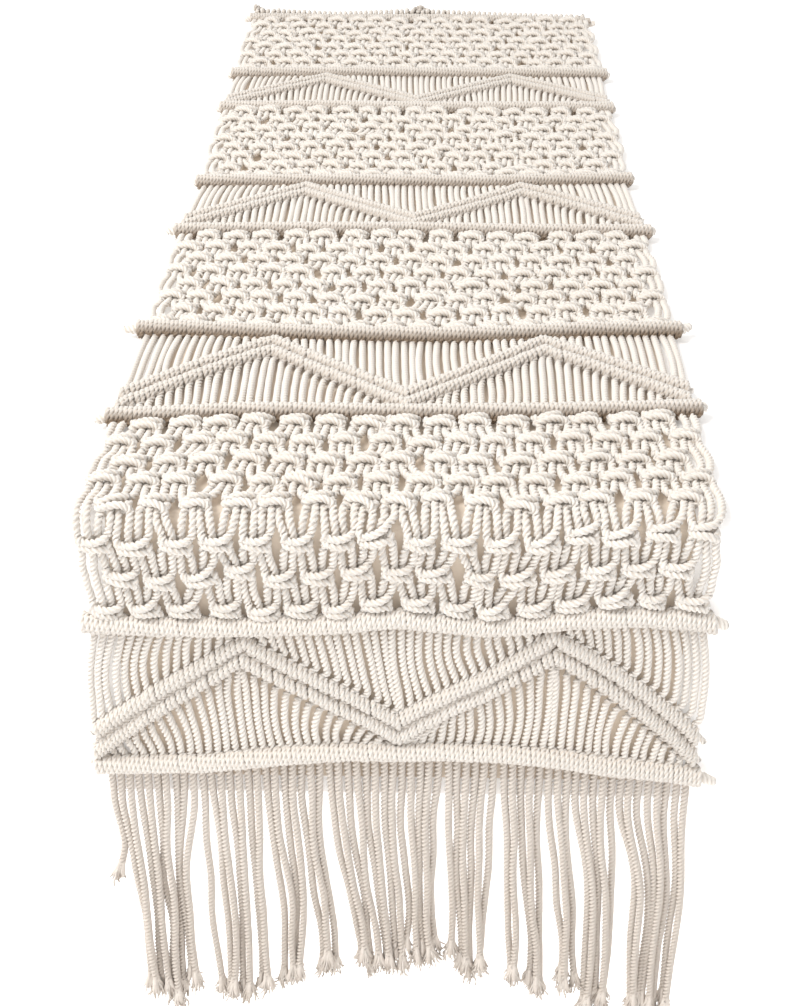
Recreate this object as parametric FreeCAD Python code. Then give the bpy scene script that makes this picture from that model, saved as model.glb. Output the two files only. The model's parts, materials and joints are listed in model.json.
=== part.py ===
import FreeCAD, Part
import math
import os

from FreeCAD import Placement, Rotation, Vector

# A knotted cord table runner, draped along a table and hanging over both of its edges.
#
# Row frame: millimetres, +Z up. The origin is on the table top, under the middle of the
# bar nearest the middle of the table. +Y runs along the runner to its far end, X across it.
#
# Every piece is placed by two coordinates on the runner's middle surface:
#   x  across the runner, from its centre line
#   u  along the runner, growing from the near end to the far end
# Surface.point and Surface.placement turn them into places in the row frame.

# ---- driving dimensions ----------------------------------------------------------------
RUNNER_WIDTH = 305.0
CORD_COUNT = 64
CORD_DIAMETER = 4.0
BAND_LENGTH = 88.0            # zigzag band, from bar to bar
PANEL_LENGTH = 161.5          # square-knot panel lying flat, from bar to bar
NEAR_PANEL_LENGTH = 168.0     # the panel over the near edge, drawn longer by what hangs on it
FRINGE_LENGTH = 180.0         # below the last bar's underside
BAND_COUNT = 5
PANEL_COUNT = 4

BAR_RADIUS = 4.6              # holding cord with the hitches round it
BAR_TAIL = 14.0               # holding cord beyond the runner's side
MID_HEIGHT = 4.3              # middle surface above the table top
BEND_RADIUS = 12.0            # of the middle surface over a table edge

RIDGE_RADIUS = 4.2            # diagonal hitches round their holding cord
RIDGE_SPACING = 11.2          # between the two ridges of a zigzag, measured along u
RIDGE_CLEARANCE = 1.0         # between a ridge and the bar that it comes down to

KNOT_WIDTH = 14.0
KNOT_HALF_LENGTH = 5.0
KNOT_CHAMFER = 2.2
KNOT_ROWS = 8
ROW_TO_BAR = 10.5             # from the first or last row of knots to the bar beside it
ROWS_ON_TABLE = 5             # rows of the near panel on the table side of the near bend

LAST_NEAR_BAR_U = -168.5      # the bar that the near fringe hangs from
NEAR_BEND_U = -9.0            # middle of the bend over the near edge
FAR_BEND_PAST_BAR = 8.4       # middle of the far bend, beyond the ninth bar
ORIGIN_BAR = 6                # counted from the near end
FRINGE_DROP = 2.5             # from a bar's underside to the line that the fringe swings on
HINGE_GAP = 5.0               # cords start this far past the middle of a bend
BEND_CLEARANCE = 1.5          # between cords and a row of knots that lies on a bend

# ---- sizes that follow -----------------------------------------------------------------
CORD_PITCH = RUNNER_WIDTH / CORD_COUNT
CORD_RADIUS = CORD_DIAMETER / 2
CORD_SOLID_RADIUS = CORD_RADIUS - 0.1
HALF_WIDTH = RUNNER_WIDTH / 2
CELL = 4 * CORD_PITCH         # four cords to a square knot
HALF_ARC = BEND_RADIUS * math.pi / 4
SHORTEST_CORD = 1.0

# offsets of a knot's four cords from its middle, where they leave the knot
LEG_OFFSETS = (-6.1, -2.05, 2.05, 6.1)


def bar_places():
    """u of each bar, from the near end."""
    places = [LAST_NEAR_BAR_U]
    for band in range(BAND_COUNT):
        places.append(places[-1] + BAND_LENGTH)
        if band < PANEL_COUNT:
            panel = NEAR_PANEL_LENGTH if band == 0 else PANEL_LENGTH
            places.append(places[-1] + panel)
    return places


BARS = bar_places()
FAR_BEND_U = BARS[8] + FAR_BEND_PAST_BAR
ORIGIN_U = BARS[ORIGIN_BAR - 1]


class Surface:
    """The runner's middle surface: down the near side, over the table, down the far side."""

    near_top = NEAR_BEND_U + HALF_ARC
    near_foot = NEAR_BEND_U - HALF_ARC
    far_top = FAR_BEND_U - HALF_ARC
    far_foot = FAR_BEND_U + HALF_ARC
    centre_z = MID_HEIGHT - BEND_RADIUS

    @classmethod
    def tilt(cls, u):
        """Angle that the surface is turned about X, in degrees: 90 on the near drop."""
        if u < cls.near_top:
            return min(90.0, math.degrees((cls.near_top - u) / BEND_RADIUS))
        if u > cls.far_top:
            return max(-90.0, -math.degrees((u - cls.far_top) / BEND_RADIUS))
        return 0.0

    @classmethod
    def bend_centre(cls, near):
        """Y and Z of the middle of the arc over the near or the far edge."""
        top = cls.near_top if near else cls.far_top
        return top - ORIGIN_U, cls.centre_z

    @classmethod
    def point(cls, x, u):
        if cls.near_top <= u <= cls.far_top:
            return Vector(x, u - ORIGIN_U, MID_HEIGHT)
        near = u < cls.near_top
        tilt = math.radians(cls.tilt(u))
        y, z = cls.bend_centre(near)
        y -= BEND_RADIUS * math.sin(tilt)
        z += BEND_RADIUS * math.cos(tilt)
        below = cls.near_foot - u if near else u - cls.far_foot
        return Vector(x, y, z - max(below, 0.0))

    @classmethod
    def placement(cls, x, u):
        return Placement(cls.point(x, u), Rotation(Vector(1, 0, 0), cls.tilt(u)))

    @classmethod
    def path(cls, x0, u0, x1, u1):
        """Corners of a line on the surface, with extra ones where it goes round a bend."""
        corners = {0.0, 1.0}
        for u in (cls.near_foot, NEAR_BEND_U, cls.near_top, cls.far_top, FAR_BEND_U, cls.far_foot):
            if min(u0, u1) + 0.5 < u < max(u0, u1) - 0.5:
                corners.add((u - u0) / (u1 - u0))
        return [cls.point(x0 + (x1 - x0) * t, u0 + (u1 - u0) * t) for t in sorted(corners)]


# ---- shapes ----------------------------------------------------------------------------
def round_bar(points, radius):
    """A round solid along straight runs that meet at mitred corners."""
    start = points[0]
    along = points[1] - start
    if len(points) == 2:
        return Part.makeCylinder(radius, along.Length, start, along)
    profile = Part.Wire([Part.Circle(start, along, radius).toShape()])
    path = Part.makePolygon(points)
    return path.makePipeShell([profile], True, False, 1)


def holding_cord(u):
    """The cord across the runner that a bar's hitches are tied on."""
    reach = HALF_WIDTH + BAR_TAIL
    return round_bar([Surface.point(-reach, u), Surface.point(reach, u)], CORD_RADIUS)


def bar_hitches(u):
    """The sleeve of double half hitches, pressed flat underneath."""
    length = RUNNER_WIDTH
    sleeve = Part.makeCylinder(BAR_RADIUS, length, Vector(-HALF_WIDTH, 0, 0), Vector(1, 0, 0))
    bore = Part.makeCylinder(CORD_RADIUS, length, Vector(-HALF_WIDTH, 0, 0), Vector(1, 0, 0))
    under = Part.makeBox(length, 4 * BAR_RADIUS, BAR_RADIUS)
    under.translate(Vector(-HALF_WIDTH, -2 * BAR_RADIUS, -MID_HEIGHT - BAR_RADIUS))
    sleeve = sleeve.cut([bore, under])
    sleeve.Placement = Surface.placement(0, u)
    return sleeve.Solids[0]


def ridge_levels(band):
    """u of the lower ridge's low points and of the upper ridge's peaks."""
    reach = BAR_RADIUS + RIDGE_RADIUS + RIDGE_CLEARANCE
    return BARS[2 * band] + reach, BARS[2 * band + 1] - reach


def ridge_u(x, low, high):
    """u of a ridge at x: low at both sides and in the middle, with a peak at each quarter."""
    quarter = RUNNER_WIDTH / 4
    rise = 1 - abs(abs(x) - quarter) / quarter
    return low + (high - low) * rise


def ridge_path(low, high):
    quarter = RUNNER_WIDTH / 4
    points = []
    for n in range(-2, 2):
        x0, x1 = n * quarter, (n + 1) * quarter
        points += Surface.path(x0, ridge_u(x0, low, high), x1, ridge_u(x1, low, high))[:-1]
    return points + [Surface.point(HALF_WIDTH, low)]


def zigzag(band):
    """The holding cords and the hitched ridges of a band's double zigzag."""
    low, peak = ridge_levels(band)
    cords, ridges = [], []
    for lift in (0.0, RIDGE_SPACING):
        path = ridge_path(low + lift, peak - RIDGE_SPACING + lift)
        cord = round_bar(path, CORD_RADIUS)
        cords.append(cord)
        ridges.append(round_bar(path, RIDGE_RADIUS).cut(cord).Solids[0])
    return cords, ridges


def cord_x(number):
    return (number + 0.5) * CORD_PITCH - HALF_WIDTH


def cord_run(x0, u0, x1, u1):
    """One cord between two places on the surface, or nothing where it would be too short."""
    if abs(u1 - u0) < SHORTEST_CORD:
        return []
    return [round_bar(Surface.path(x0, u0, x1, u1), CORD_SOLID_RADIUS)]


def band_cords(band):
    """The upright cords of a zigzag band, below and above its ridges."""
    low, peak = ridge_levels(band)
    climb = math.atan((peak - RIDGE_SPACING - low) / (RUNNER_WIDTH / 4))
    clear = RIDGE_RADIUS / math.cos(climb) + CORD_RADIUS * math.tan(climb)
    first = BARS[2 * band] + BAR_RADIUS
    if band == BAND_COUNT - 1:
        first = FAR_BEND_U + HINGE_GAP
    last = BARS[2 * band + 1] - BAR_RADIUS
    cords = []
    for number in range(CORD_COUNT):
        x = cord_x(number)
        lower = ridge_u(x, low, peak - RIDGE_SPACING) - clear
        upper = ridge_u(x, low + RIDGE_SPACING, peak) + clear
        if lower - first > SHORTEST_CORD:
            cords += cord_run(x, first, x, lower)
        if last - upper > SHORTEST_CORD:
            cords += cord_run(x, upper, x, last)
    return cords


def knot_block():
    """The outer form of one square knot, lying across the runner."""
    a, h, c = KNOT_HALF_LENGTH, MID_HEIGHT, KNOT_CHAMFER
    outline = [(a - c, -h), (a, c - h), (a, h - c), (a - c, h), (c - a, h), (-a, h - c), (-a, c - h), (c - a, -h)]
    corners = [Vector(-KNOT_WIDTH / 2, y, z) for y, z in outline]
    face = Part.Face(Part.makePolygon(corners + corners[:1]))
    return face.extrude(Vector(KNOT_WIDTH, 0, 0))


KNOT = knot_block()


def panel_rows(panel):
    """u of each row of knots, from the near bar of the panel to the far one."""
    first = BARS[2 * panel + 1] + ROW_TO_BAR
    last = BARS[2 * panel + 2] - ROW_TO_BAR
    pitch = (last - first) / (KNOT_ROWS - 1)
    return [first + n * pitch for n in range(KNOT_ROWS)]


def knot_places(row):
    """x of each knot in a row: every other row is half a cell over and one knot shorter."""
    count = CORD_COUNT // 4 - row % 2
    return [(n - (count - 1) / 2) * CELL for n in range(count)]


def cord_x_in_row(number, row):
    """x of a cord where it goes through a row of knots, or runs free beside the row."""
    shift = 2 * (row % 2)
    knot, place = divmod(number - shift, 4)
    places = knot_places(row)
    if number < shift or knot >= len(places):
        return cord_x(number)
    return places[knot] + LEG_OFFSETS[place]


def knots(panel, rows):
    levels = panel_rows(panel)
    solids = []
    for row in rows:
        for x in knot_places(row):
            knot = KNOT.copy()
            knot.Placement = Surface.placement(x, levels[row])
            solids.append(knot)
    return solids


def knot_cord(x0, u0, x1, u1):
    """A cord between two rows, as much shorter as its slanting ends need to stay out of the knots."""
    length = math.hypot(x1 - x0, u1 - u0)
    trim = CORD_SOLID_RADIUS * abs(x1 - x0) / length
    dx, du = (x1 - x0) * trim / length, (u1 - u0) * trim / length
    return cord_run(x0 + dx, u0 + du, x1 - dx, u1 - du)


def knot_reach(u):
    """How far from a row's middle its cords start."""
    on_bend = Surface.near_foot < u < Surface.near_top
    return KNOT_HALF_LENGTH + (BEND_CLEARANCE if on_bend else 0.0)


def knot_cords(panel, gaps):
    """The cords between rows. Gap n is on the near side of row n; the last is past the last row."""
    levels = panel_rows(panel)
    starts = [BARS[2 * panel + 1] + BAR_RADIUS] + [u + knot_reach(u) for u in levels]
    ends = [u - knot_reach(u) for u in levels] + [BARS[2 * panel + 2] - BAR_RADIUS]
    hinge = NEAR_BEND_U - HINGE_GAP
    solids = []
    for gap in gaps:
        u0, u1 = starts[gap], ends[gap]
        if u0 < hinge:
            u1 = min(u1, hinge)
        if u1 - u0 < SHORTEST_CORD:
            continue
        for number in range(CORD_COUNT):
            x0 = cord_x(number) if gap == 0 else cord_x_in_row(number, gap - 1)
            x1 = cord_x(number) if gap == KNOT_ROWS else cord_x_in_row(number, gap)
            solids += knot_cord(x0, u0, x1, u1)
    return solids


def side_cords(panel, rows):
    """The cords that run free past the ends of every shorter row."""
    levels = panel_rows(panel)
    solids = []
    for row in rows:
        if row % 2:
            u0, u1 = levels[row] - KNOT_HALF_LENGTH, levels[row] + KNOT_HALF_LENGTH
            for number in (0, 1, CORD_COUNT - 2, CORD_COUNT - 1):
                solids += cord_run(cord_x(number), u0, cord_x(number), u1)
    return solids


def fringe(near):
    """The free ends of the working cords, straight down from where they swing."""
    bar = BARS[0] if near else BARS[-1]
    away = -1 if near else 1
    top = bar + away * (BAR_RADIUS + FRINGE_DROP)
    foot = bar + away * (BAR_RADIUS + FRINGE_LENGTH)
    return [solid for n in range(CORD_COUNT) for solid in cord_run(cord_x(n), top, cord_x(n), foot)]


# ---- the nodes -------------------------------------------------------------------------
def save(name, solids):
    shape = Part.makeCompound(solids) if len(solids) > 1 else solids[0]
    shape.exportStep("parts/%s.step" % name)
    bad = sum(not solid.isValid() for solid in solids)
    print("%-24s %4d solids, %8.0f mm3, %d invalid" % (name, len(solids), shape.Volume, bad))


def main():
    os.makedirs("parts", exist_ok=True)

    for number, u in enumerate(BARS, 1):
        save("holding_cord_%02d" % number, [holding_cord(u)])
        save("bar_hitches_%02d" % number, [bar_hitches(u)])

    for band in range(BAND_COUNT):
        cords, ridges = zigzag(band)
        save("zigzag_cords_%d" % (band + 1), cords)
        save("zigzag_hitches_%d" % (band + 1), ridges)
        save("band_cords_%d" % (band + 1), band_cords(band))

    hanging_rows = KNOT_ROWS - ROWS_ON_TABLE
    below, above = range(hanging_rows), range(hanging_rows, KNOT_ROWS)
    save("square_knots_1_drop", knots(0, below))
    save("knot_cords_1_drop", knot_cords(0, range(hanging_rows + 1)) + side_cords(0, below))
    save("square_knots_1_top", knots(0, above))
    save("knot_cords_1_top", knot_cords(0, range(hanging_rows + 1, KNOT_ROWS + 1)) + side_cords(0, above))
    for panel in range(1, PANEL_COUNT):
        rows = range(KNOT_ROWS)
        save("square_knots_%d" % (panel + 1), knots(panel, rows))
        save("knot_cords_%d" % (panel + 1), knot_cords(panel, range(KNOT_ROWS + 1)) + side_cords(panel, rows))

    save("near_fringe_cords", fringe(True))
    save("far_fringe_cords", fringe(False))

    for near in (True, False):
        y, z = Surface.bend_centre(near)
        out = HALF_ARC * (-1 if near else 1)
        side = "near" if near else "far"
        print("%s drop swings on y %.3f z %.3f" % (side, y + out, z + HALF_ARC))
        bar = BARS[0] - BAR_RADIUS - FRINGE_DROP if near else BARS[-1] + BAR_RADIUS + FRINGE_DROP
        pivot = Surface.point(0, bar)
        print("%s fringe swings on y %.3f z %.3f" % (side, pivot.y, pivot.z))


main()
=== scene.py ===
import json
import math

import bpy
import numpy as np
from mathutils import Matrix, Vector


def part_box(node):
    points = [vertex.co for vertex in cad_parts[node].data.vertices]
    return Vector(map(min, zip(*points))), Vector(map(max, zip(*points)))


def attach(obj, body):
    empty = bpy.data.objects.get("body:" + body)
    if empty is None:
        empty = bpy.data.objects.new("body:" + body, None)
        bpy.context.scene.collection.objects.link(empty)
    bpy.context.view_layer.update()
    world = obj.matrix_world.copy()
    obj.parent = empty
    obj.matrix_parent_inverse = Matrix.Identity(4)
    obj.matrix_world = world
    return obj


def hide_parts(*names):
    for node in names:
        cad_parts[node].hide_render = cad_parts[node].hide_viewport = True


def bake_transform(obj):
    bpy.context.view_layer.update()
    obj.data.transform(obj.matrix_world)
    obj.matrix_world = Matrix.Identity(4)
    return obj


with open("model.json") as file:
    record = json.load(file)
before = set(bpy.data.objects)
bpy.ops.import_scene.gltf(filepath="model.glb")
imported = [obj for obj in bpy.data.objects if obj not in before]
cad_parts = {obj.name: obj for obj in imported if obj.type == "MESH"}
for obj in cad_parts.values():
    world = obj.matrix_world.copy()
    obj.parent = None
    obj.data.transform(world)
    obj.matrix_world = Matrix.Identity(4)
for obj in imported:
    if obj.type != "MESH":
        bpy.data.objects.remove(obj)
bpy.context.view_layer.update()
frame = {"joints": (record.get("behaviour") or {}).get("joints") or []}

# The runner's shapes are worked out in millimetres and stored in metres.
#
# Every cord is laid out flat first, by three coordinates:
#   x  across the runner
#   s  along it, equal to y where the runner lies on the table
#   n  away from its middle surface, towards the side that shows
# The flat lay is then pulled a little out of true, bent over the table's edges and swept
# into a rope of three twisted strands.
METRES = 0.001

# ---- sizes that the CAD model shares, mm -------------------------------------------------
CORD_COUNT = 64
BEND_RADIUS = 12.0
HALF_ARC = BEND_RADIUS * math.pi / 4
BAR_RADIUS = 4.6
RIDGE_RADIUS = 4.2
RIDGE_SPACING = 11.2
RIDGE_CLEARANCE = 1.0
KNOT_ROWS = 8
ROW_TO_BAR = 10.5
BAR_COUNT = 10

# ---- rope --------------------------------------------------------------------------------
CORD_RADIUS = 2.3             # over the crests of its strands; the CAD cord is plain, 2.0 mm
LAY = 8.5                     # one full turn of the twist
RING_STEP = 1.2
ROUND = 12                    # points round a rope
STRAND_RADIUS = 0.56          # of the rope's radius
STRAND_OFFSET = 0.44
TWIST_STEP = 0.618            # of a turn, from one cord's twist to the next one's


# The seed of each kind of piece, to which its own number is added.
SEEDS = {"bar": 100, "holding": 200, "band": 300, "panel": 400, "fringe": 500}
# The number of the first cord of each kind, which sets its twist and its fibres.
FIRST_CORD = {"band": 700, "panel": 1100, "near_fringe": 1500, "far_fringe": 1600}


# ---- places from the frame ---------------------------------------------------------------
def middle(node):
    low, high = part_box(node)
    return (np.array(low) + np.array(high)) / 2 / METRES


def pivot(joint):
    found = next(j for j in frame["joints"] if j["name"] == joint)
    return np.array(found["pos_m"]) / METRES


MID_HEIGHT = middle("holding_cord_06")[2]
CENTRE_Z = MID_HEIGHT - BEND_RADIUS
NEAR_TOP = pivot("near_drop_lift")[1] + HALF_ARC
FAR_TOP = pivot("far_drop_lift")[1] - HALF_ARC
NEAR_FOOT = NEAR_TOP - 2 * HALF_ARC
FAR_FOOT = FAR_TOP + 2 * HALF_ARC
WIDTH = (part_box("bar_hitches_06")[1][0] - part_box("bar_hitches_06")[0][0]) / METRES
HALF_WIDTH = WIDTH / 2
PITCH = WIDTH / CORD_COUNT
CELL = 4 * PITCH


def place_along(node):
    """s of a node's middle."""
    _, y, z = middle(node)
    if y < NEAR_TOP:
        return NEAR_FOOT - (CENTRE_Z - z)
    if y > FAR_FOOT - HALF_ARC:
        return FAR_FOOT + (CENTRE_Z - z)
    return y


BARS = [place_along("holding_cord_%02d" % n) for n in range(1, BAR_COUNT + 1)]
CORD_X = (np.arange(CORD_COUNT) + 0.5) * PITCH - HALF_WIDTH


# ---- the bent surface --------------------------------------------------------------------
def on_surface(flat):
    """Flat lay coordinates (x, s, n) as places in the row frame, still in millimetres."""
    x, s, n = flat[..., 0], flat[..., 1], flat[..., 2]
    near = np.clip((NEAR_TOP - s) / BEND_RADIUS, 0, math.pi / 2)
    far = np.clip((s - FAR_TOP) / BEND_RADIUS, 0, math.pi / 2)
    turn = near + far
    side = np.where(near > 0, -1.0, 1.0)
    centre = np.where(near > 0, NEAR_TOP, FAR_TOP)
    start = np.where(turn > 0, centre, s)
    below = np.maximum(NEAR_FOOT - s, 0) + np.maximum(s - FAR_FOOT, 0)
    reach = BEND_RADIUS + n
    y = start + side * reach * np.sin(turn)
    z = CENTRE_Z + reach * np.cos(turn) - below
    return np.stack([x, y, z], axis=-1)


# How each bar strays from straight: place across, -1 and 1 at the runner's sides, and shift
# along the runner, mm.
WAVES = {
    1: [(-1.1, -3), (-0.65, -0.5), (-0.35, 6), (-0.17, 9), (0.02, 9), (0.15, 10), (0.36, 9), (0.57, 5),
        (0.7, 1), (0.93, -3), (1.1, -8)],
    2: [(-1.1, 0), (-0.65, -2), (-0.42, -1), (-0.2, 1), (0, 5), (0.29, 0), (0.43, 2), (0.57, 6), (0.79, 8),
        (0.93, 7), (1.1, 3)],
    3: [(-1.1, -6), (-0.85, -4), (-0.6, 1), (-0.38, 2), (0, 1.5), (0.52, 4.5), (1.1, 11)],
    4: [(-1.1, 6), (-0.8, 5), (-0.4, 1), (0.1, -1), (0.35, 2), (0.65, 8), (1.1, 12)],
    5: [(-1.1, -4), (-0.5, 0), (0, 1.5), (0.5, -0.5), (1.1, 1)],
    6: [(-1.1, -3), (-0.3, 1), (0.3, 0), (0.7, 5), (1.1, 10)],
    7: [(-1.1, -3), (-0.5, 1), (0, -1), (0.6, 1), (1.1, 2)],
    8: [(-1.1, -4), (-0.3, 0.5), (0.4, -0.5), (1.1, 1)],
    9: [(-1.1, -2), (-0.5, 2), (0, -1.5), (0.5, 2), (1.1, 6)],
    10: [(-1.1, -2), (-0.5, 2), (0, -2), (0.5, 2), (1.1, -1)],
}
# Sideways shift of each bar, mm, its stretch, and how much wider the runner is between bars.
SHIFTS = [-1.2, -1.4, 0.5, 1.0, 1.0, 1.0, 0.5, 1.5, 0.5, 0.0]
STRETCH = [1.021, 1.005, 1.005, 1.01, 1.0, 0.98, 0.99, 1.0, 1.0, 1.0]
ALONG = [8.0, 11.0, -1.0, 6.0, 0.0, 0.0, 0.0, 0.0, 5.0, 0.0]     # shift of each bar along the runner
BULGE = [0.036, 0.026, 0.012, 0.012, 0.012, 0.026, 0.012, 0.026, 0.012]   # between one bar and the next


def pulled(flat):
    """The flat lay with its bars wavy and its sides uneven."""
    x, s = flat[..., 0], flat[..., 1]
    across = x / HALF_WIDTH
    waves = np.stack([np.interp(across, *zip(*WAVES[n])) + ALONG[n - 1] for n in range(1, BAR_COUNT + 1)])
    place = np.interp(s, BARS, np.arange(BAR_COUNT))
    lower = np.clip(place.astype(int), 0, BAR_COUNT - 2)
    part = place - lower
    wave = (np.take_along_axis(waves, lower[None], 0) * (1 - part)
            + np.take_along_axis(waves, lower[None] + 1, 0) * part)[0]
    shift = np.interp(s, BARS, SHIFTS)
    bulge = np.array(BULGE)[lower] * np.sin(math.pi * np.clip(part, 0, 1))
    out = flat.copy()
    out[..., 0] = x * (np.interp(s, BARS, STRETCH) + bulge) + shift
    out[..., 1] = s + wave
    return out


# ---- ropes -------------------------------------------------------------------------------
def spline(control, step):
    """Points about step apart on a smooth curve led by the control points.

    A control point is x, s, n, then whatever else is to run smoothly along the cord.
    """
    control = np.asarray(control, float)
    first, last = 2 * control[0] - control[1], 2 * control[-1] - control[-2]
    p = np.vstack([first, control, last])
    t = np.linspace(0, 1, 8, endpoint=False)[:, None, None]
    a, b, c, d = p[:-3], p[1:-2], p[2:-1], p[3:]
    curve = ((1 - t) ** 3 * a + (3 * t**3 - 6 * t**2 + 4) * b
             + (-3 * t**3 + 3 * t**2 + 3 * t + 1) * c + t**3 * d) / 6
    curve = np.vstack([curve.transpose(1, 0, 2).reshape(-1, control.shape[1]), control[-1]])
    gone = np.concatenate([[0], np.cumsum(np.linalg.norm(np.diff(curve[:, :3], axis=0), axis=1))])
    count = max(3, int(round(gone[-1] / step)) + 1)
    at = np.linspace(0, gone[-1], count)
    return np.stack([np.interp(at, gone, curve[:, k]) for k in range(control.shape[1])], axis=1)


def unit(v):
    return v / np.maximum(np.linalg.norm(v, axis=-1, keepdims=True), 1e-9)


def carried_frames(lines):
    """For each line, the tangents and a pair of normals that turn as little as they can."""
    longest = max(len(line) for line in lines)
    points = np.stack([
        np.vstack([line, line[-1] + (line[-1] - line[-2]) * np.arange(1, longest - len(line) + 1)[:, None]])
        for line in lines])
    tangent = unit(np.gradient(points, axis=1))
    normal = np.empty_like(points)
    guide = np.where(np.abs(tangent[:, 0, :1]) < 0.8, [[1.0, 0, 0]], [[0, 0, 1.0]])
    normal[:, 0] = unit(np.cross(tangent[:, 0], guide))
    for k in range(longest - 1):
        step = points[:, k + 1] - points[:, k]
        size = np.maximum((step * step).sum(-1, keepdims=True), 1e-12)
        turned = normal[:, k] - 2 / size * (step * normal[:, k]).sum(-1, keepdims=True) * step
        ahead = tangent[:, k] - 2 / size * (step * tangent[:, k]).sum(-1, keepdims=True) * step
        gap = tangent[:, k + 1] - ahead
        size = np.maximum((gap * gap).sum(-1, keepdims=True), 1e-12)
        normal[:, k + 1] = unit(turned - 2 / size * (gap * turned).sum(-1, keepdims=True) * gap)
    return tangent, normal, np.cross(tangent, normal)


def rope_profile():
    """Angles and radii of the outline of three strands laid together, one strand to four points."""
    angle = np.arange(ROUND) * 2 * math.pi / ROUND
    within = (angle + math.pi / 3) % (2 * math.pi / 3) - math.pi / 3
    aside = STRAND_OFFSET * np.sin(within)
    radius = STRAND_OFFSET * np.cos(within) + np.sqrt(STRAND_RADIUS**2 - aside**2)
    return angle, radius, within / (math.pi / 3)


class Ropes:
    """Closed tubes gathered into one mesh, with the attribute that its material reads."""

    def __init__(self):
        self.points, self.quads, self.caps, self.marks, self.count = [], [], [], [], 0

    def add(self, rings, marks):
        """rings has a row of points for each ring.

        marks is across the strand, along it, the cord's own number, and how shaded it is.
        """
        steps, sides = rings.shape[:2]
        index = np.arange(steps * sides).reshape(steps, sides) + self.count
        ahead = np.roll(index, -1, axis=1)
        self.quads.append(np.stack([index[:-1], ahead[:-1], ahead[1:], index[1:]], axis=-1).reshape(-1, 4))
        for ring, order in ((0, (1, 0)), (-1, (0, 1))):
            centre = np.full(sides, self.count + steps * sides + (ring == -1))
            pair = (index[ring], ahead[ring])
            self.caps.append(np.stack([pair[order[0]], pair[order[1]], centre], axis=-1))
        ends = np.stack([rings[0].mean(0), rings[-1].mean(0)])
        self.points += [rings.reshape(-1, 3), ends]
        self.marks += [marks.reshape(-1, 4), np.stack([marks[0].mean(0), marks[-1].mean(0)])]
        self.count += steps * sides + 2

    def piece(self, name, material):
        points = np.concatenate(self.points) * METRES
        quads, caps = np.concatenate(self.quads), np.concatenate(self.caps)
        mesh = bpy.data.meshes.new(name)
        mesh.vertices.add(len(points))
        mesh.vertices.foreach_set("co", points.ravel().astype(np.float32))
        loops = np.concatenate([quads.ravel(), caps.ravel()])
        starts = np.concatenate([np.arange(len(quads)) * 4, len(quads) * 4 + np.arange(len(caps)) * 3])
        mesh.loops.add(len(loops))
        mesh.loops.foreach_set("vertex_index", loops.astype(np.int32))
        mesh.polygons.add(len(starts))
        mesh.polygons.foreach_set("loop_start", starts.astype(np.int32))
        mesh.polygons.foreach_set("use_smooth", np.ones(len(starts), bool))
        mesh.update(calc_edges=True)
        marks = mesh.attributes.new("strand", "FLOAT_COLOR", "POINT")
        marks.data.foreach_set("color", np.concatenate(self.marks).ravel().astype(np.float32))
        mesh.materials.append(material)
        piece = bpy.data.objects.new(name, mesh)
        bpy.context.scene.collection.objects.link(piece)
        return piece


ANGLE, OUTLINE, ACROSS = rope_profile()


def sweep(lines, numbers, targets, lay=LAY, sides=None):
    """Ropes along lines of x, s, n, radius, role and, where a line has it, shade.

    Each stretch of one role goes to the target of that role.
    """
    angle, outline, across = ANGLE, OUTLINE, ACROSS
    if sides:
        angle = np.arange(sides) * 2 * math.pi / sides
        outline, across = np.ones(sides), np.zeros(sides)
    placed = [on_surface(pulled(line[:, :3])) for line in lines]
    _, first, second = carried_frames(placed)
    for k, (line, points) in enumerate(zip(lines, placed)):
        gone = np.concatenate([[0], np.cumsum(np.linalg.norm(np.diff(points, axis=0), axis=1))])
        turn = angle[None] + 2 * math.pi * (gone / lay + TWIST_STEP * numbers[k])[:, None]
        size = (line[:, 3, None] * outline[None])[..., None]
        u, v = first[k, :len(line), None], second[k, :len(line), None]
        rings = points[:, None] + size * (np.cos(turn)[..., None] * u + np.sin(turn)[..., None] * v)
        marks = np.zeros(turn.shape + (4,))
        marks[..., 0] = across
        marks[..., 1] = gone[:, None]
        marks[..., 2] = numbers[k]
        if line.shape[1] > 5:
            marks[..., 3] = line[:, 5, None]
        role = (line[:, 4] > 0.5).astype(int)
        edges = [0, *(np.flatnonzero(np.diff(role)) + 1), len(role) - 1]
        for a, b in zip(edges[:-1], edges[1:]):
            if b > a:
                targets[role[a]].add(rings[a:b + 1], marks[a:b + 1])


# ---- hitches round a bar or a ridge --------------------------------------------------------
HITCH_RADIUS = {"bar": 4.3, "ridge": 3.1}
HITCH_CORD = {"bar": 1.75, "ridge": 1.8}
HITCH_LIFT = {"bar": 1.6, "ridge": 0.9}
HITCH_SHADE = {"bar": 1.0, "ridge": 0.5}
HITCH_POINTS = 19             # control points in the one and a half turns of a double half hitch
HITCH_REACH = 0.375           # of the cords' spacing, along the bar to each side of a crossing
# A hitch is shaded where it turns under the near side of its bar. The shade is tilted
# towards that side, rad. Where it starts, the range it grows over and where it stops are
# cosines and a sine of the turn.
UNDER_TILT = 0.6
UNDER_START = 0.8
UNDER_GROWTH = 1.4
UNDER_STOP = 0.3


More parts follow.
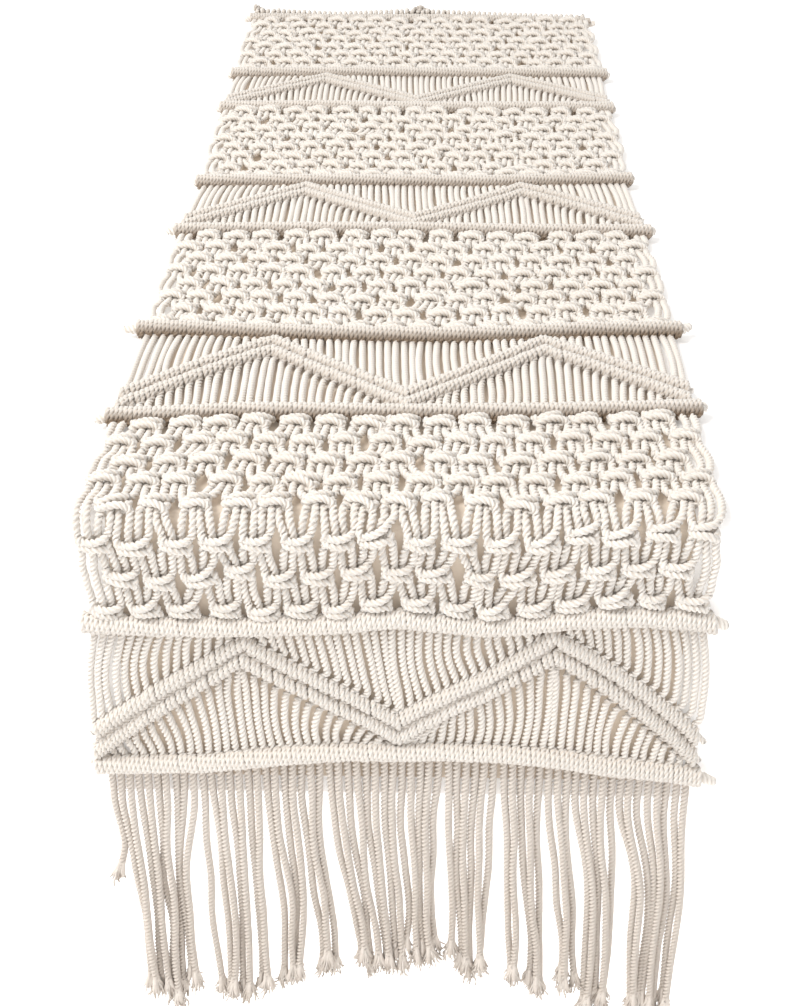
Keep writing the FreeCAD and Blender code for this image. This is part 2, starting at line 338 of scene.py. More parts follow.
def double_half_hitch(centre, heading, spacing, kind):
    """Control points of one cord's hitch, from the far side of the bar to its near side.

    centre is x, s of the crossing, heading the bar's angle in the flat lay, spacing the
    distance between cords along the bar. The turns stay upright on a slanting bar.
    """
    turn = np.linspace(0.5, -2.5, HITCH_POINTS) * math.pi
    along = np.linspace(-HITCH_REACH, HITCH_REACH, HITCH_POINTS) * spacing
    side = HITCH_RADIUS[kind] * np.sin(turn) / math.cos(heading)
    lift = HITCH_RADIUS[kind] * np.cos(turn)
    x = centre[0] + along * math.cos(heading)
    s = centre[1] + along * math.sin(heading) + side
    size = np.full(HITCH_POINTS, HITCH_CORD[kind])
    under = np.clip((UNDER_START - np.cos(turn - UNDER_TILT)) / UNDER_GROWTH, 0, 1)
    under *= np.sin(turn) < UNDER_STOP
    role = np.ones(HITCH_POINTS)
    return np.stack([x, s, lift + HITCH_LIFT[kind], size, role, under * HITCH_SHADE[kind]], axis=1)


ROLL_SPREAD = 1.03            # the hitches reach a little past the runner's sides
HITCH_STRAY = (0.12, 0.15)    # spread of a bar's hitches, across the runner and along it
HITCH_TILT = 0.03             # rad
COLLAR_GAP = 0.5              # from a bar to the cord that goes into it and the one that leaves it
COLLAR_DEPTH = -0.4
COLLAR_RADIUS = 1.7
# How strongly each bar is shaded underneath.
BAR_SHADE = [0.5, 0.55, 1.05, 1.0, 0.8, 0.75, 0.5, 0.6, 0.3, 0.3]


def bar_hitches(number, material):
    """The 64 double half hitches round a bar's holding cord."""
    ropes = Ropes()
    random = np.random.default_rng(SEEDS["bar"] + number)
    lines = []
    for x in CORD_X * ROLL_SPREAD:
        stray = random.normal(0, HITCH_STRAY[0]), random.normal(0, HITCH_STRAY[1])
        centre = (x + stray[0], BARS[number - 1] + stray[1])
        hitch = double_half_hitch(centre, random.normal(0, HITCH_TILT), PITCH, "bar")
        hitch[:, 4] = 0
        collar = BAR_RADIUS + COLLAR_GAP
        # The cords going into and out of a bar carry painted shade, more on the near side, where they pass
        # under it.
        far = [x, centre[1] + collar, COLLAR_DEPTH, COLLAR_RADIUS, 0, 0.2]
        near = [x, centre[1] - collar, COLLAR_DEPTH, COLLAR_RADIUS, 0, 0.9]
        hitch[:, 5] *= BAR_SHADE[number - 1]
        lines.append(spline(np.vstack([far, hitch, near]), 1.0))
    sweep(lines, np.arange(CORD_COUNT) + CORD_COUNT * number, [ropes])
    return ropes.piece("bar_%02d_hitches" % number, material)


# How far each bar's cord sticks out past the left and the right side, mm.
TAILS = [(6, 12), (5.5, 10), (9.5, 7), (12, 10), (9, 7), (6, 6), (7, 6), (7, 6), (9, 9), (11, 11)]

# Control points of a tail that ends in a small knot: share of its length, mm added to that,
# shares of its droop and of its lean, and radius.
TAIL_POINTS = [(0.4, 0, 0, 0, 3.7), (0.7, 0, 0.5, 0.2, 3.3), (1, -1.5, 1, 0.5, 3.1),
               (1, 0, 1.2, 0.6, 3.4), (1, 1.0, 1.3, 0.6, 1.6)]
TAIL_DROOP = 1.2
TAIL_LEAN = (-1.0, 1.0)       # mean and spread
HOLDING_RADIUS = 2.4


def holding_cord(number, material):
    """The cord inside a bar, with its knotted tails."""
    ropes = Ropes()
    random = np.random.default_rng(SEEDS["holding"] + number)
    s = BARS[number - 1]
    x = np.linspace(-HALF_WIDTH, HALF_WIDTH, 40)
    lift = HITCH_LIFT["bar"]
    control = [[v, s, lift, HOLDING_RADIUS, 0] for v in x]
    for side in (-1, 1):
        droop, back = random.normal(0, TAIL_DROOP), random.normal(*TAIL_LEAN)
        length = TAILS[number - 1][side > 0]
        tail = [[side * (HALF_WIDTH + length * part + more), s + droop * sink, lift + back * lean, radius, 0]
                for part, more, sink, lean, radius in TAIL_POINTS]
        control = control + tail if side == 1 else tail[::-1] + control
    sweep([spline(control, RING_STEP)], [number], [ropes])
    return ropes.piece("holding_cord_%02d_rope" % number, material)


# ---- zigzag bands --------------------------------------------------------------------------
QUARTER = WIDTH / 4
BAND_CORD = 2.15              # radius of a cord that is pulled straight
ZIGZAG_CORD = 1.9
RIDGE_REACH = 6.0             # from a ridge to where its cords come free
SHORTEST_FREE = 4.0           # stretch of free cord that is drawn as one
FREE_PARTS = (0.12, 0.35, 0.6, 0.85)
EASE = 4.0                    # how far a cord leans over where it comes off a ridge
RIDGE_EXIT = 5.6
# A free cord's bow swells from the bar: how soon, and to what part of a half wave by the ridge.
SWING_PACE = 1.1
SWING_TURN = 0.72
LEAD_POWER = 1.6              # a cord drifts towards its place on the ridge late rather than soon
# How far a free cord bows, as a share of its length, and at most.
BOW_RISING, BOW_FALLING, BOW_BELOW = 0.2, 0.1, 0.16
BOW_LIMIT_ABOVE, BOW_LIMIT_BELOW = 7.0, 5.0
SLACK_HUNG, SLACK_LAID = 1.0, 0.3
RIDGE_STRAY = (0.2, 0.25)     # spread of a ridge's hitches, across the runner and along it
BAND_END = (-0.5, 2.0, 0)     # depth, radius and role of a cord where it meets a bar
BOW_STRAY = 0.45
LIFT_STRAY = 0.4
BAR_OVERLAP = 1.0             # how far cords run into the bars at their ends
HUMP_HEIGHT = 11.0
HUMP_PLACE = 11.0             # past the bar before the far edge
HUMP_WIDTH = 14.0
HUMP_DRAW = 0.6               # how far a raised place is drawn towards that bar, of its height


def ridge_levels(band):
    reach = BAR_RADIUS + RIDGE_RADIUS + RIDGE_CLEARANCE
    return BARS[2 * band] + reach, BARS[2 * band + 1] - reach


def ridge_s(x, low, high):
    return low + (high - low) * (1 - abs(abs(x) - QUARTER) / QUARTER)


def ridge_heading(x, low, high):
    climb = math.atan2(high - low, QUARTER)
    rising = x < -QUARTER or 0 < x < QUARTER
    return climb if rising else -climb


# How far each cord meets a ridge to the right of its place on the bars: (place across, mm).
UPPER_DRIFT = [(-1, 0.5), (-0.75, 0.5), (-0.5, 2), (-0.25, 5), (0, 6.5), (0.25, 4), (0.5, 2), (0.75, -2),
               (1, -2.5)]
LOWER_DRIFT = [(-1, -3), (-0.75, -4.5), (-0.5, -1), (-0.3, 4), (-0.15, 6), (0, 4), (0.2, -1.5), (0.35, -3.5),
               (0.5, 0), (0.75, 4), (1, -1)]


def sag(x):
    """How far a band's cords are free to bow: not at all by the zigzag's corners, most between them."""
    return math.sin(math.pi * (abs(x) % QUARTER) / QUARTER) ** 0.6


def hump(band, s):
    """How much the last band stands up where its corners press against the bar before the far edge."""
    if band < 4:
        return 0.0
    return HUMP_HEIGHT * math.exp(-((s - BARS[8] - HUMP_PLACE) / HUMP_WIDTH) ** 2)


def free_cord(x, end_x, bar_s, length, bow, lift):
    """Control points of a cord that is free between a bar and a ridge, starting by the bar."""
    points = []
    for part in FREE_PARTS:
        swing = math.sin(math.pi * min(part * SWING_PACE, 1) * SWING_TURN)
        lead = x + (end_x - x) * part**LEAD_POWER
        points.append([lead + bow * swing, bar_s + length * part, lift * swing, BAND_CORD, 0, 0])
    return points


def ridge_exit(x, s, shade):
    """Control point of a cord beside the ridge that it comes off."""
    return [x, s, 0.3, 2.1, 0, shade]


def zigzag_band(band, cord_material, hitch_material):
    """The upright cords and the two hitched ridges of a band, as two pieces."""
    random = np.random.default_rng(SEEDS["band"] + band)
    cords, ridges = Ropes(), Ropes()
    low, peak = ridge_levels(band)
    top = peak - RIDGE_SPACING
    near = BARS[2 * band] + BAR_RADIUS - BAR_OVERLAP
    far = BARS[2 * band + 1] - BAR_RADIUS + BAR_OVERLAP
    lines = []
    slack = SLACK_HUNG if band == 0 else SLACK_LAID
    for x in CORD_X:
        above_x = x + slack * np.interp(x / HALF_WIDTH, *zip(*UPPER_DRIFT))
        below_x = x + slack * np.interp(x / HALF_WIDTH, *zip(*LOWER_DRIFT))
        upper = ridge_s(above_x, low, top) + RIDGE_SPACING
        lower = ridge_s(below_x, low, top)

        lean = math.sin(ridge_heading(above_x, low, top))
        above = far - upper - RIDGE_REACH
        share = BOW_RISING if lean > 0 else BOW_FALLING
        give = min(max(above, 0) * share, BOW_LIMIT_ABOVE)
        bow = -lean * sag(above_x) * give * slack + random.normal(0, BOW_STRAY)
        lift = random.normal(0, LIFT_STRAY)
        # A cord carries painted shade where it runs under the bar above it.
        control = [[x, far, *BAND_END, 0.5]]
        if above > SHORTEST_FREE:
            control += free_cord(x, above_x, far, -above, bow, lift)
            control.append(ridge_exit(above_x - lean * EASE * slack, upper + RIDGE_EXIT, 0))

        for level, place in ((upper, above_x), (lower, below_x)):
            heading = ridge_heading(place, low, top)
            centre = (place + random.normal(0, RIDGE_STRAY[0]), level + random.normal(0, RIDGE_STRAY[1]))
            control += list(double_half_hitch(centre, heading, PITCH / math.cos(heading), "ridge"))

        lean = math.sin(ridge_heading(below_x, low, top))
        below = lower - RIDGE_REACH - near
        give = min(max(below, 0) * BOW_BELOW, BOW_LIMIT_BELOW)
        bow = lean * sag(below_x) * give * slack + random.normal(0, BOW_STRAY)
        lift = random.normal(0, LIFT_STRAY)
        if below > SHORTEST_FREE:
            # A little painted shade where the cord leaves the lower ridge.
            control.append(ridge_exit(below_x + lean * EASE * slack, lower - RIDGE_EXIT, 0.1))
            control += free_cord(x, below_x, near, below, bow, lift)[::-1]
        control.append([x, near, *BAND_END, 0])
        for row in control:
            raised = hump(band, row[1])
            row[1] -= HUMP_DRAW * raised
            row[2] += raised
        lines.append(spline(control, RING_STEP))
    sweep(lines, np.arange(CORD_COUNT) + FIRST_CORD["band"] + CORD_COUNT * band, [cords, ridges])
    return (cords.piece("band_%d_cords" % (band + 1), cord_material),
            ridges.piece("band_%d_ridges" % (band + 1), hitch_material))


def zigzag_cores(band, material):
    """The two cords that a band's ridges are hitched round."""
    ropes = Ropes()
    low, peak = ridge_levels(band)
    top = peak - RIDGE_SPACING
    lines = []
    x = np.linspace(-HALF_WIDTH - 1.5, HALF_WIDTH + 1.5, 65)
    for above in (0.0, RIDGE_SPACING):
        s = np.array([ridge_s(v, low, top) for v in x]) + above
        raised = np.array([hump(band, v) for v in s])
        s, n = s - HUMP_DRAW * raised, HITCH_LIFT["ridge"] + raised
        radius = np.full_like(x, ZIGZAG_CORD)
        lines.append(spline(np.stack([x, s, n, radius, np.zeros_like(x)], axis=1), RING_STEP))
    sweep(lines, [band, band + 0.5], [ropes])
    return ropes.piece("band_%d_zigzag_cords" % (band + 1), material)


# ---- square knots --------------------------------------------------------------------------
# A square knot seen from the front, as two working cords round two straight ones: offsets
# across, along and out of the runner. The right cord crosses in front twice and the left
# cord behind twice, and each is locked by the other at the knot's sides. A working cord
# comes in beside its neighbour of the next knot and a straight one comes in at the middle.
FRONT_CORD = [(7.2, 5.4, 0.2), (6.6, 4.3, 1.4), (4.9, 3.1, 3.1), (1.8, 2.0, 4.1), (-1.8, 1.6, 4.1),
              (-4.9, 1.7, 3.0), (-6.8, 1.2, 1.0), (-7.3, 0.1, 0.2), (-6.7, -1.2, 1.4), (-4.8, -1.9, 3.3),
              (-1.6, -1.9, 4.2), (1.8, -2.0, 4.1), (4.9, -2.6, 3.2), (6.5, -3.7, 1.6), (6.8, -4.8, 0.8),
              (6.6, -5.8, 0.5)]
BACK_CORD = [(-7.2, 5.4, 0.2), (-6.9, 4.2, 1.6), (-6.7, 2.7, 2.9), (-6.3, 1.1, 2.4), (-5.4, 0.3, 0.0),
             (-3.2, 0.6, -2.2), (0.0, 0.9, -2.6), (3.4, 0.9, -2.3), (5.8, 0.7, -0.3), (6.9, -0.4, 1.6),
             (6.4, -1.8, 2.1), (5.5, -2.8, 1.0), (3.2, -2.4, -1.9), (0.0, -1.8, -2.6), (-3.2, -1.9, -2.2),
             (-5.4, -2.8, -0.4), (-6.8, -3.9, 0.6), (-6.6, -5.6, 0.5)]
FILLER_CORD = [(2.1, 5.4, 0.0), (2.0, 1.7, -0.1), (1.8, -1.7, -0.1), (1.6, -5.4, 0.0)]
WRAP_RADIUS = 2.2
FILLER_RADIUS = 2.1
PANEL_END = (-0.4, 1.8, 0)    # depth, radius and role of a cord where it meets a bar
SIDE_OUT = 1.5                # how far a cord beside a row of knots bows out
UNEVEN = [1.0, 1.3, 1.7, 2.0]  # how much the knots of each panel stray


def panel_rows(panel):
    """s of each row of a panel's knots."""
    first = BARS[2 * panel + 1] + ROW_TO_BAR
    last = BARS[2 * panel + 2] - ROW_TO_BAR
    return np.linspace(first, last, KNOT_ROWS)


def role_in_row(number, row):
    """Which knot of a row a cord goes through and its place in it, or None beside the row."""
    shift = 2 * (row % 2)
    knot, place = divmod(number - shift, 4)
    count = CORD_COUNT // 4 - row % 2
    if number < shift or knot >= count:
        return None
    return (knot - (count - 1) / 2) * CELL, place


def knot_shape(place):
    """A knot's cord by its place from the left, 0 to 3. The second is laid partly over the third."""
    if place in (0, 3):
        return np.array(FRONT_CORD if place == 3 else BACK_CORD)
    filler = np.array(FILLER_CORD)
    return filler * (-1, 1, 1) + (0, 0, 0.7) if place == 1 else filler - (0, 0, 0.7)


def knot_panel(panel, cord_material, knot_material):
    """The cords and the square knots of a panel, as two pieces."""
    random = np.random.default_rng(SEEDS["panel"] + panel)
    cords, knots = Ropes(), Ropes()
    rows = panel_rows(panel)
    ties = {}
    uneven = UNEVEN[panel]
    for row in range(KNOT_ROWS):
        for knot in range(CORD_COUNT // 4):
            dx, ds, tilt = random.normal(0, 0.8), random.normal(0, 1.0), random.normal(0, 0.11)
            grow, lift = random.normal(1, 0.06), random.normal(0, 0.35)
            ties[row, knot] = (dx * uneven, ds * uneven, tilt * uneven, grow, lift)
    near = BARS[2 * panel + 1] + BAR_RADIUS - BAR_OVERLAP
    far = BARS[2 * panel + 2] - BAR_RADIUS + BAR_OVERLAP
    lines = []
    for number, x in enumerate(CORD_X):
        control = [[x, far, *PANEL_END]]
        for row in reversed(range(KNOT_ROWS)):
            found = role_in_row(number, row)
            if found is None:
                side = SIDE_OUT * np.sign(x)
                for step in (5.0, 0.0, -5.0):
                    control.append([x + side + random.normal(0, 0.4), rows[row] + step, 0.3, CORD_RADIUS, 0])
            else:
                middle_x, place = found
                dx, ds, tilt, grow, lift = ties[row, (number - 2 * (row % 2)) // 4]
                shape = knot_shape(place)
                worker = place in (0, 3)
                across = shape[:, 0] * grow
                along = shape[:, 1] * (0.5 + grow / 2)
                turned = across + along * tilt, along - across * tilt
                size = WRAP_RADIUS if worker else FILLER_RADIUS
                for a, b, c in zip(*turned, shape[:, 2]):
                    control.append([middle_x + dx + a, rows[row] + ds + b, c + lift, size, float(worker)])
                if worker:
                    control[-1][4] = control[-len(shape)][4] = 0
            if row:
                last = control[-1]
                bend = random.normal(0, 0.5)
                middle_s = (rows[row] + rows[row - 1]) / 2
                after = role_in_row(number, row - 1)
                toward = x if after is None else after[0] + knot_shape(after[1])[0, 0]
                lift = 0.5 + random.normal(0, 0.3)
                control.append([(last[0] + toward) / 2 + bend, middle_s, lift, CORD_RADIUS, 0])
        control.append([x, near, *PANEL_END])
        lines.append(spline(control, RING_STEP))
    sweep(lines, np.arange(CORD_COUNT) + FIRST_CORD["panel"] + CORD_COUNT * panel, [cords, knots])
    return (cords.piece("panel_%d_cords" % (panel + 1), cord_material),
            knots.piece("panel_%d_knots" % (panel + 1), knot_material))


# ---- fringes -------------------------------------------------------------------------------
# Clumps of the near fringe from left to right: how many cords, where the foot lies across the
# runner, its length, mm, and how far down its cords have come together.
CLUMPS = [
    (1, -149, 82, 0.5), (7, -132, 178, 0.7), (2, -117, 166, 0.6), (1, -104, 176, 0.5), (4, -91, 178, 0.8),
    (2, -76, 175, 1.0), (4, -58, 166, 1.0), (3, -40, 160, 1.0), (8, -10, 160, 1.1), (5, 12, 150, 1.1),
    (1, 31, 150, 1.0), (5, 42, 163, 1.0), (2, 64, 166, 1.0), (3, 77, 173, 0.9), (3, 95, 172, 0.8),
    (5, 113, 180, 0.6), (3, 135, 180, 0.5), (3, 145, 182, 0.5), (2, 153, 179, 0.5),
]
CLUMP_SPACING = 3.2
FRINGE_CORD = 2.3             # radius of a cord that hangs loose
TASSEL = 11.0
FRINGE_PARTS = (0.05, 0.18, 0.34, 0.5, 0.68, 0.84, 1.0)
FRINGE_WANDER = (0.2, 0.5, 1, 1, 1, 1, 1)     # at each of those parts
FRINGE_STEP = 1.35
LAYER_GAP = 3.0               # between the front and the back cords of a clump
# A strand of a tassel: share of the tassel's length, mm from its middle, share of its flare, radius.
STRAND_POINTS = [(-0.25, 0.9, 0, 1.2), (0.0, 1.1, 0, 1.3), (0.3, 1.5, 0, 1.5), (0.6, 0, 1, 1.5),
                 (0.8, 0.7, 1, 0.8)]
YARN_COUNT = 28
YARN_STEP = 2.4               # rad, from one yarn to the next round the tassel
YARN_PARTS = (0.0, 0.3, 0.6, 0.8, 1.0)
TASSEL_LAY = 30.0


def fringe(near, cord_material, tassel_material):
    """The loose cord ends below a last bar, with their frayed tips, as two pieces."""
    random = np.random.default_rng(SEEDS["fringe"] + near)
    cords, tassels = Ropes(), Ropes()
    bar = BARS[0] if near else BARS[-1]
    away = -1 if near else 1
    clumps = CLUMPS if near else CLUMPS[::-1]
    side = "near" if near else "far"
    lines, numbers, tips = [], [], []
    number = 0
    for count, foot, length, meet in clumps:
        members = range(number, number + count)
        foot = foot if near else -foot
        sway = random.normal(0, 1.6, 3)
        for place, member in enumerate(members):
            x = CORD_X[member]
            end = foot + (place - (count - 1) / 2) * CLUMP_SPACING
            reach = length + random.normal(0, 4) - TASSEL
            layer = (place % 2) * LAYER_GAP - 1.2 + random.normal(0, 0.4)
            control = [[x, bar + away * (BAR_RADIUS - BAR_OVERLAP), -0.4, 2.2, 0, 0.3]]
            wander = random.normal(0, 1.0, len(FRINGE_PARTS)) * FRINGE_WANDER
            for part, aside in zip(FRINGE_PARTS, wander):
                pull = np.clip((part - 0.12) / (meet - 0.12), 0, 1)
                pull = pull * pull * (3 - 2 * pull)
                common = np.interp(part, (0, 0.33, 0.66, 1), (0, *sway))
                across = x + (end - x) * pull + common * 0.6 + aside
                depth = layer * (0.3 + 0.7 * pull) + random.normal(0, 0.35)
                down = bar + away * (BAR_RADIUS + reach * part)
                # Painted shade that grows down each cord towards its foot.
                control.append([across, down, depth, FRINGE_CORD, 0, 0.06 + 0.2 * part])
            line = spline(control, FRINGE_STEP)
            lines.append(line)
            numbers.append(member + FIRST_CORD[side + "_fringe"])
            tips.append((line[-1], unit(line[-1, :3] - line[-4, :3])))
        number += count
    sweep(lines, numbers, [cords])
    for tip, heading in tips:
        tassel(tassels, tip, heading, random)
    return (cords.piece(side + "_fringe_ropes", cord_material),
            tassels.piece(side + "_fringe_tips", tassel_material))


def tassel(target, tip, heading, random):
    """The three strands of a cord's end coming apart into loose yarn."""
    lines, numbers = [], []
    side = unit(np.cross(heading, [0, 0, 1.0]))
    out = np.cross(side, heading)
    turn = random.uniform(0, 2 * math.pi)
    flare = random.uniform(2.2, 3.6)
    for strand in range(3):
        angle = turn + strand * 2 * math.pi / 3
        spread = math.cos(angle) * side + math.sin(angle) * out
        control = []
        for part, gap, share, size in STRAND_POINTS:
            place = tip[:3] + heading * part * TASSEL + spread * (gap + share * flare)
            control.append([*place, size, 0, 0.15 + 0.2 * max(part, 0)])
        lines.append(spline(control, 1.5))
        numbers.append(random.uniform(0, 99))
    sweep(lines, numbers, [target], lay=TASSEL_LAY, sides=6)
    lines, numbers = [], []
    for yarn in range(YARN_COUNT):
        angle = turn + yarn * YARN_STEP
        spread = math.cos(angle) * side + math.sin(angle) * out
        splay = random.uniform(0.4, 1.0) * (flare + 1.6)
        reach = random.uniform(0.75, 1.2)
        brown = random.uniform(0.0, 0.7)
        control = []
        for part in YARN_PARTS:
            place = tip[:3] + heading * part * reach * TASSEL
            place = place + spread * (0.8 + splay * part**1.2) + random.normal(0, 0.8, 3) * part
            control.append([*place, 0.75 - 0.3 * part, 0, brown * part])
        lines.append(spline(control, 1.8))
        numbers.append(random.uniform(0, 99))
    sweep(lines, numbers, [target], lay=TASSEL_LAY, sides=4)


# ---- materials -----------------------------------------------------------------------------
def cotton(name, light, dark, deep):
    """Soft twisted cotton: fibres along each strand, shade in its grooves and where it is marked."""
    material = bpy.data.materials.new(name)
    material.use_nodes = True
    nodes, links = material.node_tree.nodes, material.node_tree.links
    shader = nodes["Principled BSDF"]
    shader.inputs["Roughness"].default_value = 0.92
    shader.inputs["Sheen Weight"].default_value = 0.25
    shader.inputs["Sheen Roughness"].default_value = 0.5
    shader.inputs["Specular IOR Level"].default_value = 0.15

    def node(kind, **values):
        made = nodes.new(kind)
        for key, value in values.items():
            setattr(made, key, value)
        return made

    def math_node(operation, first, second):
        made = node("ShaderNodeMath", operation=operation)
        for socket, value in zip(made.inputs, (first, second)):
            if isinstance(value, (int, float)):
                socket.default_value = value
            else:
                links.new(value, socket)
        return made.outputs[0]

    marks = node("ShaderNodeAttribute", attribute_name="strand")
    parts = node("ShaderNodeSeparateXYZ")
    links.new(marks.outputs["Vector"], parts.inputs[0])
    across, along, number = parts.outputs

    # fibres: noise drawn out along the strand
    stretched = node("ShaderNodeCombineXYZ")
    links.new(math_node("MULTIPLY", across, 5.0), stretched.inputs[0])
    links.new(math_node("MULTIPLY", along, 0.35), stretched.inputs[1])
    links.new(number, stretched.inputs[2])
    fibres = node("ShaderNodeTexNoise")
    fibres.inputs["Scale"].default_value = 2.2
    fibres.inputs["Detail"].default_value = 3.0
    links.new(stretched.outputs[0], fibres.inputs["Vector"])

    # slow change of shade from cord to cord and along the cloth
    place = node("ShaderNodeTexCoord")
    patches = node("ShaderNodeTexNoise")
    patches.inputs["Scale"].default_value = 14.0
    patches.inputs["Detail"].default_value = 2.0
    links.new(place.outputs["Object"], patches.inputs["Vector"])

    groove = math_node("POWER", math_node("ABSOLUTE", across, 0.0), 3.0)
    streaks = math_node("MULTIPLY", fibres.outputs["Fac"], 0.25)
    shade = math_node("ADD", math_node("MULTIPLY", groove, 0.55), streaks)
    shade = math_node("ADD", shade, math_node("MULTIPLY", patches.outputs["Fac"], 0.2))
    mix = node("ShaderNodeMix", data_type="RGBA")
    links.new(shade, mix.inputs["Factor"])
    mix.inputs["A"].default_value = (*light, 1)
    mix.inputs["B"].default_value = (*dark, 1)
    # The deep colour comes in where the strand attribute marks it: painted shade under bars, where cords
    # meet them and down the fringe, and random brown in the frayed tips.
    deeper = node("ShaderNodeMix", data_type="RGBA")
    patchy = math_node("MULTIPLY", math_node("ADD", fibres.outputs["Fac"], 0.5), marks.outputs["Alpha"])
    links.new(patchy, deeper.inputs["Factor"])
    links.new(mix.outputs["Result"], deeper.inputs["A"])
    deeper.inputs["B"].default_value = (*deep, 1)
    links.new(deeper.outputs["Result"], shader.inputs["Base Color"])

    bump = node("ShaderNodeBump")
    bump.inputs["Strength"].default_value = 0.5
    bump.inputs["Distance"].default_value = 0.0003
    links.new(fibres.outputs["Fac"], bump.inputs["Height"])
    links.new(bump.outputs["Normal"], shader.inputs["Normal"])
    return material


def plain(name, colour, glow):
    """A matt surface of the stage that gives off a little light of its own."""
    material = bpy.data.materials.new(name)
    material.use_nodes = True
    shader = material.node_tree.nodes["Principled BSDF"]
    shader.inputs["Base Color"].default_value = (*colour, 1)
    shader.inputs["Roughness"].default_value = 0.9
    shader.inputs["Emission Color"].default_value = (*colour, 1)
    shader.inputs["Emission Strength"].default_value = glow
    return material


# ---- camera, stage and light -----------------------------------------------------------------
# The view looks down the runner from in front of its near end.
FOCAL_LENGTH = 57.6           # mm, on a sensor 36 mm high
VIEW_DISTANCE = 0.773         # m, to the bend over the near edge
VIEW_DOWN = math.radians(32.6)
VIEW_TURN = math.radians(1.2)
VIEW_SHIFT = 0.012            # of the picture's longer side, upwards


def camera():
    data = bpy.data.cameras.new("camera")
    data.lens = FOCAL_LENGTH
    data.sensor_width = 36.0
    data.clip_start = 0.01
    data.shift_y = VIEW_SHIFT
    made = bpy.data.objects.new("camera", data)
    aim = Vector((0, NEAR_TOP - HALF_ARC, MID_HEIGHT)) * METRES
    level = math.cos(VIEW_DOWN)
    forward = Vector((-math.sin(VIEW_TURN) * level, math.cos(VIEW_TURN) * level, -math.sin(VIEW_DOWN)))
    made.location = aim - forward * VIEW_DISTANCE
    made.rotation_euler = forward.to_track_quat("-Z", "Y").to_euler()
    bpy.context.scene.collection.objects.link(made)
    bpy.context.scene.camera = made


# The stage, m.
TABLE_HALF_WIDTH = 0.40
TABLE_THICKNESS = 0.176
TABLE_BASE_INSET = 0.09
TABLE_HEIGHT = 0.36
FLOOR_REACH = 6.0
SLAB_GAP = 0.0008             # from the runner down to the white table
STRIP_GAP = 0.0003            # from the runner down to the tan strip of painted shade
STRIP_INSET = 0.009           # from the runner's sides to the strip's
STRIP_RISE = 0.012            # from the slab's underside to the strip's lower ends
EDGE_STEPS = 8


def staged(name, points, faces, material):
    """A mesh that is part of the stage and not of the runner."""
    mesh = bpy.data.meshes.new(name)
    mesh.from_pydata(points, [], faces)
    mesh.materials.append(material)
    made = bpy.data.objects.new(name, mesh)
    bpy.context.scene.collection.objects.link(made)


def block(name, outline, half_width, material):
    """A solid across the runner, from its outline in y and z."""
    count = len(outline)
    points = [(side * half_width, y, z) for side in (-1, 1) for y, z in outline]
    faces = [(k, (k + 1) % count, (k + 1) % count + count, k + count) for k in range(count)]
    faces += [tuple(range(count - 1, -1, -1)), tuple(range(count, 2 * count))]
    staged(name, points, faces, material)


def table_outline(gap):
    """The rounded top of the table, gap below the runner."""
    edge = (BEND_RADIUS - MID_HEIGHT) * METRES
    near, far, low = NEAR_TOP * METRES, FAR_TOP * METRES, -edge
    turns = [math.radians(90 * n / EDGE_STEPS) for n in range(EDGE_STEPS + 1)]
    reach = edge - gap
    rounded = [(near - reach * math.cos(v), low + reach * math.sin(v)) for v in turns]
    return rounded + [(far + reach * math.sin(v), low + reach * math.cos(v)) for v in turns]


def stage():
    """A table of the runner's length, a tan strip of painted shade over it under the runner, and the floor.
    """
    white = plain("table_white", (0.97, 0.96, 0.95), glow=0.22)
    outline = table_outline(SLAB_GAP)
    near, far = outline[0][0], outline[-1][0]
    slab = [(near, -TABLE_THICKNESS)] + outline + [(far, -TABLE_THICKNESS)]
    block("table_slab", slab, TABLE_HALF_WIDTH, white)
    inset = TABLE_BASE_INSET
    base = [(near + inset, -TABLE_HEIGHT), (near + inset, -TABLE_THICKNESS), (far - inset, -TABLE_THICKNESS),
            (far - inset, -TABLE_HEIGHT)]
    block("table_base", base, TABLE_HALF_WIDTH - inset, white)
    # The tan strip is painted shade: a dark sheet just under the runner, within its outline, that darkens
    # the gaps between the cords. It also glows a little.
    outline = table_outline(STRIP_GAP)
    foot = -TABLE_THICKNESS + STRIP_RISE
    strip = [(outline[0][0], foot)] + outline + [(outline[-1][0], foot)]
    tan = plain("painted_shade_strip_colour", (0.84, 0.73, 0.61), glow=0.12)
    block("painted_shade_strip", strip, HALF_WIDTH * METRES - STRIP_INSET, tan)
    low, out = -TABLE_HEIGHT, FLOOR_REACH
    staged("floor", [(-out, -out, low), (out, -out, low), (out, out, low), (-out, out, low)], [(0, 1, 2, 3)],
           plain("floor_white", (0.95, 0.95, 0.95), glow=0.7))


def area_light(name, place, aim, size, power, colour):
    data = bpy.data.lights.new(name, "AREA")
    data.shape = "DISK"
    data.size = size
    data.energy = power
    data.color = colour
    made = bpy.data.objects.new(name, data)
    made.location = place
    made.rotation_euler = (Vector(aim) - Vector(place)).to_track_quat("-Z", "Y").to_euler()
    bpy.context.scene.collection.objects.link(made)


def lights():
    world = bpy.data.worlds.new("studio")
    bpy.context.scene.world = world
    world.use_nodes = True
    background = world.node_tree.nodes["Background"]
    background.inputs["Color"].default_value = (1.0, 1.0, 1.0, 1)
    background.inputs["Strength"].default_value = 0.78
    area_light("key", (-1.1, -0.8, 1.7), (0, -0.1, 0), 1.0, 34.0, (1.0, 0.995, 0.98))


# ---- the runner ------------------------------------------------------------------------------
bpy.context.scene.view_settings.view_transform = "Standard"

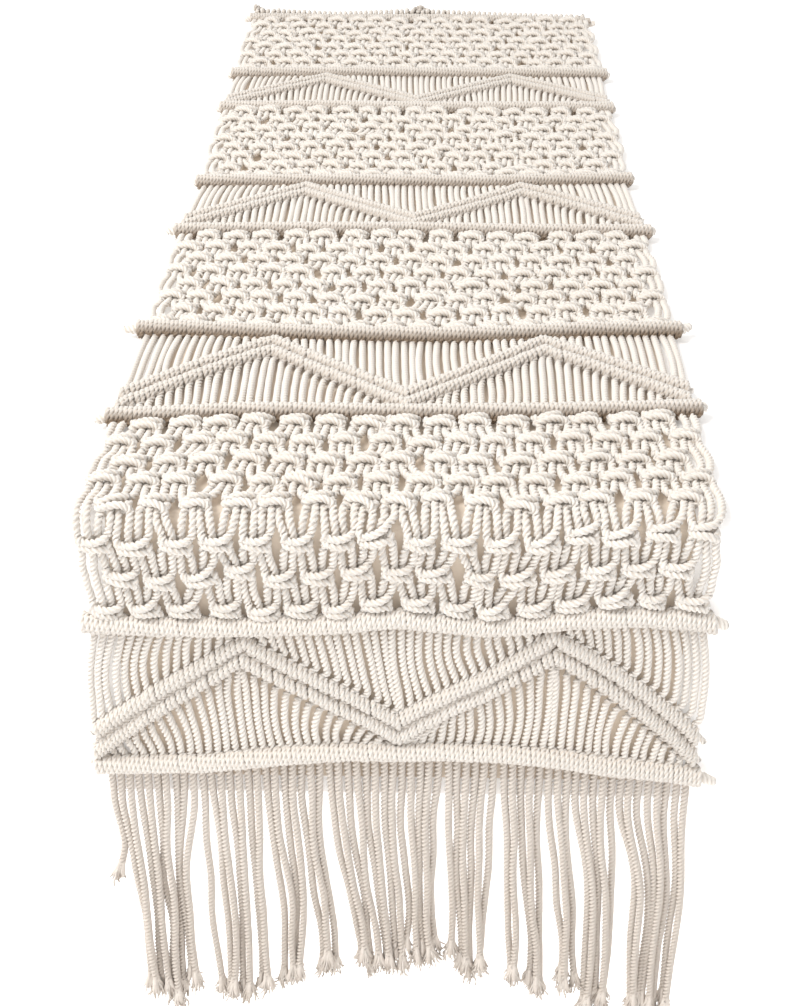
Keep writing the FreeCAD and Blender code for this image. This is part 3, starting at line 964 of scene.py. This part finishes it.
# Colours of the cotton: on its strands, in its grooves and where it is marked as shaded.
IVORY = (0.90, 0.872, 0.835)
SHADE = (0.72, 0.60, 0.48)
DEEP = (0.24, 0.165, 0.105)
# The fringe's colours are painted shade: the same cotton as the rest of the runner, made darker because the
# hanging fringe is less lit.
FRINGE_SHADED_LIGHT = (0.80, 0.745, 0.69)
FRINGE_SHADED_DARK = (0.62, 0.52, 0.43)

camera()
stage()
lights()

working = cotton("working_cord", IVORY, SHADE, DEEP)
hitched = cotton("hitched_cord", IVORY, SHADE, DEEP)
# The fringe cotton is a darker, shaded copy of the runner's cotton: painted shade.
shaded_fringe_cotton = cotton("fringe_cord", FRINGE_SHADED_LIGHT, FRINGE_SHADED_DARK, DEEP)
holding = cotton("holding_cord", IVORY, SHADE, DEEP)


def body_of_bar(number):
    if number <= 2:
        return "near_drop"
    return "table_panel" if number < BAR_COUNT else "far_drop"


def over_bend(piece):
    """The piece's placement is baked into its mesh; it is given to no body."""
    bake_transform(piece)


def below_bar(piece):
    """The piece's placement is baked into its mesh; it is given to no body."""
    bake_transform(piece)


for number in range(1, BAR_COUNT + 1):
    sleeve = bar_hitches(number, hitched)
    inner = holding_cord(number, holding)
    for piece, node, slot in ((sleeve, "bar_hitches_%02d", "hitched_cord"),
                              (inner, "holding_cord_%02d", "holding_cord")):
        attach(piece, body_of_bar(number))
        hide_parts(node % number)

for band in range(5):
    cords, ridges = zigzag_band(band, working, hitched)
    cores = zigzag_cores(band, holding)
    for piece, node, slot in ((cords, "band_cords_%d", "working_cord"),
                              (ridges, "zigzag_hitches_%d", "hitched_cord"),
                              (cores, "zigzag_cords_%d", "holding_cord")):
        if band == 4:
            over_bend(piece)
        else:
            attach(piece, "near_drop" if band == 0 else "table_panel")
        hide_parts(node % (band + 1))

for panel in range(4):
    cords, knots = knot_panel(panel, working, working)
    for piece, node in ((cords, "knot_cords_%d"), (knots, "square_knots_%d")):
        if panel == 0:
            over_bend(piece)
            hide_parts(node % 1 + "_drop", node % 1 + "_top")
        else:
            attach(piece, "table_panel")
            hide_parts(node % (panel + 1))

for near in (True, False):
    ropes, tips = fringe(near, shaded_fringe_cotton, shaded_fringe_cotton)
    for piece in (ropes, tips):
        below_bar(piece)
    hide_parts("near_fringe_cords" if near else "far_fringe_cords")
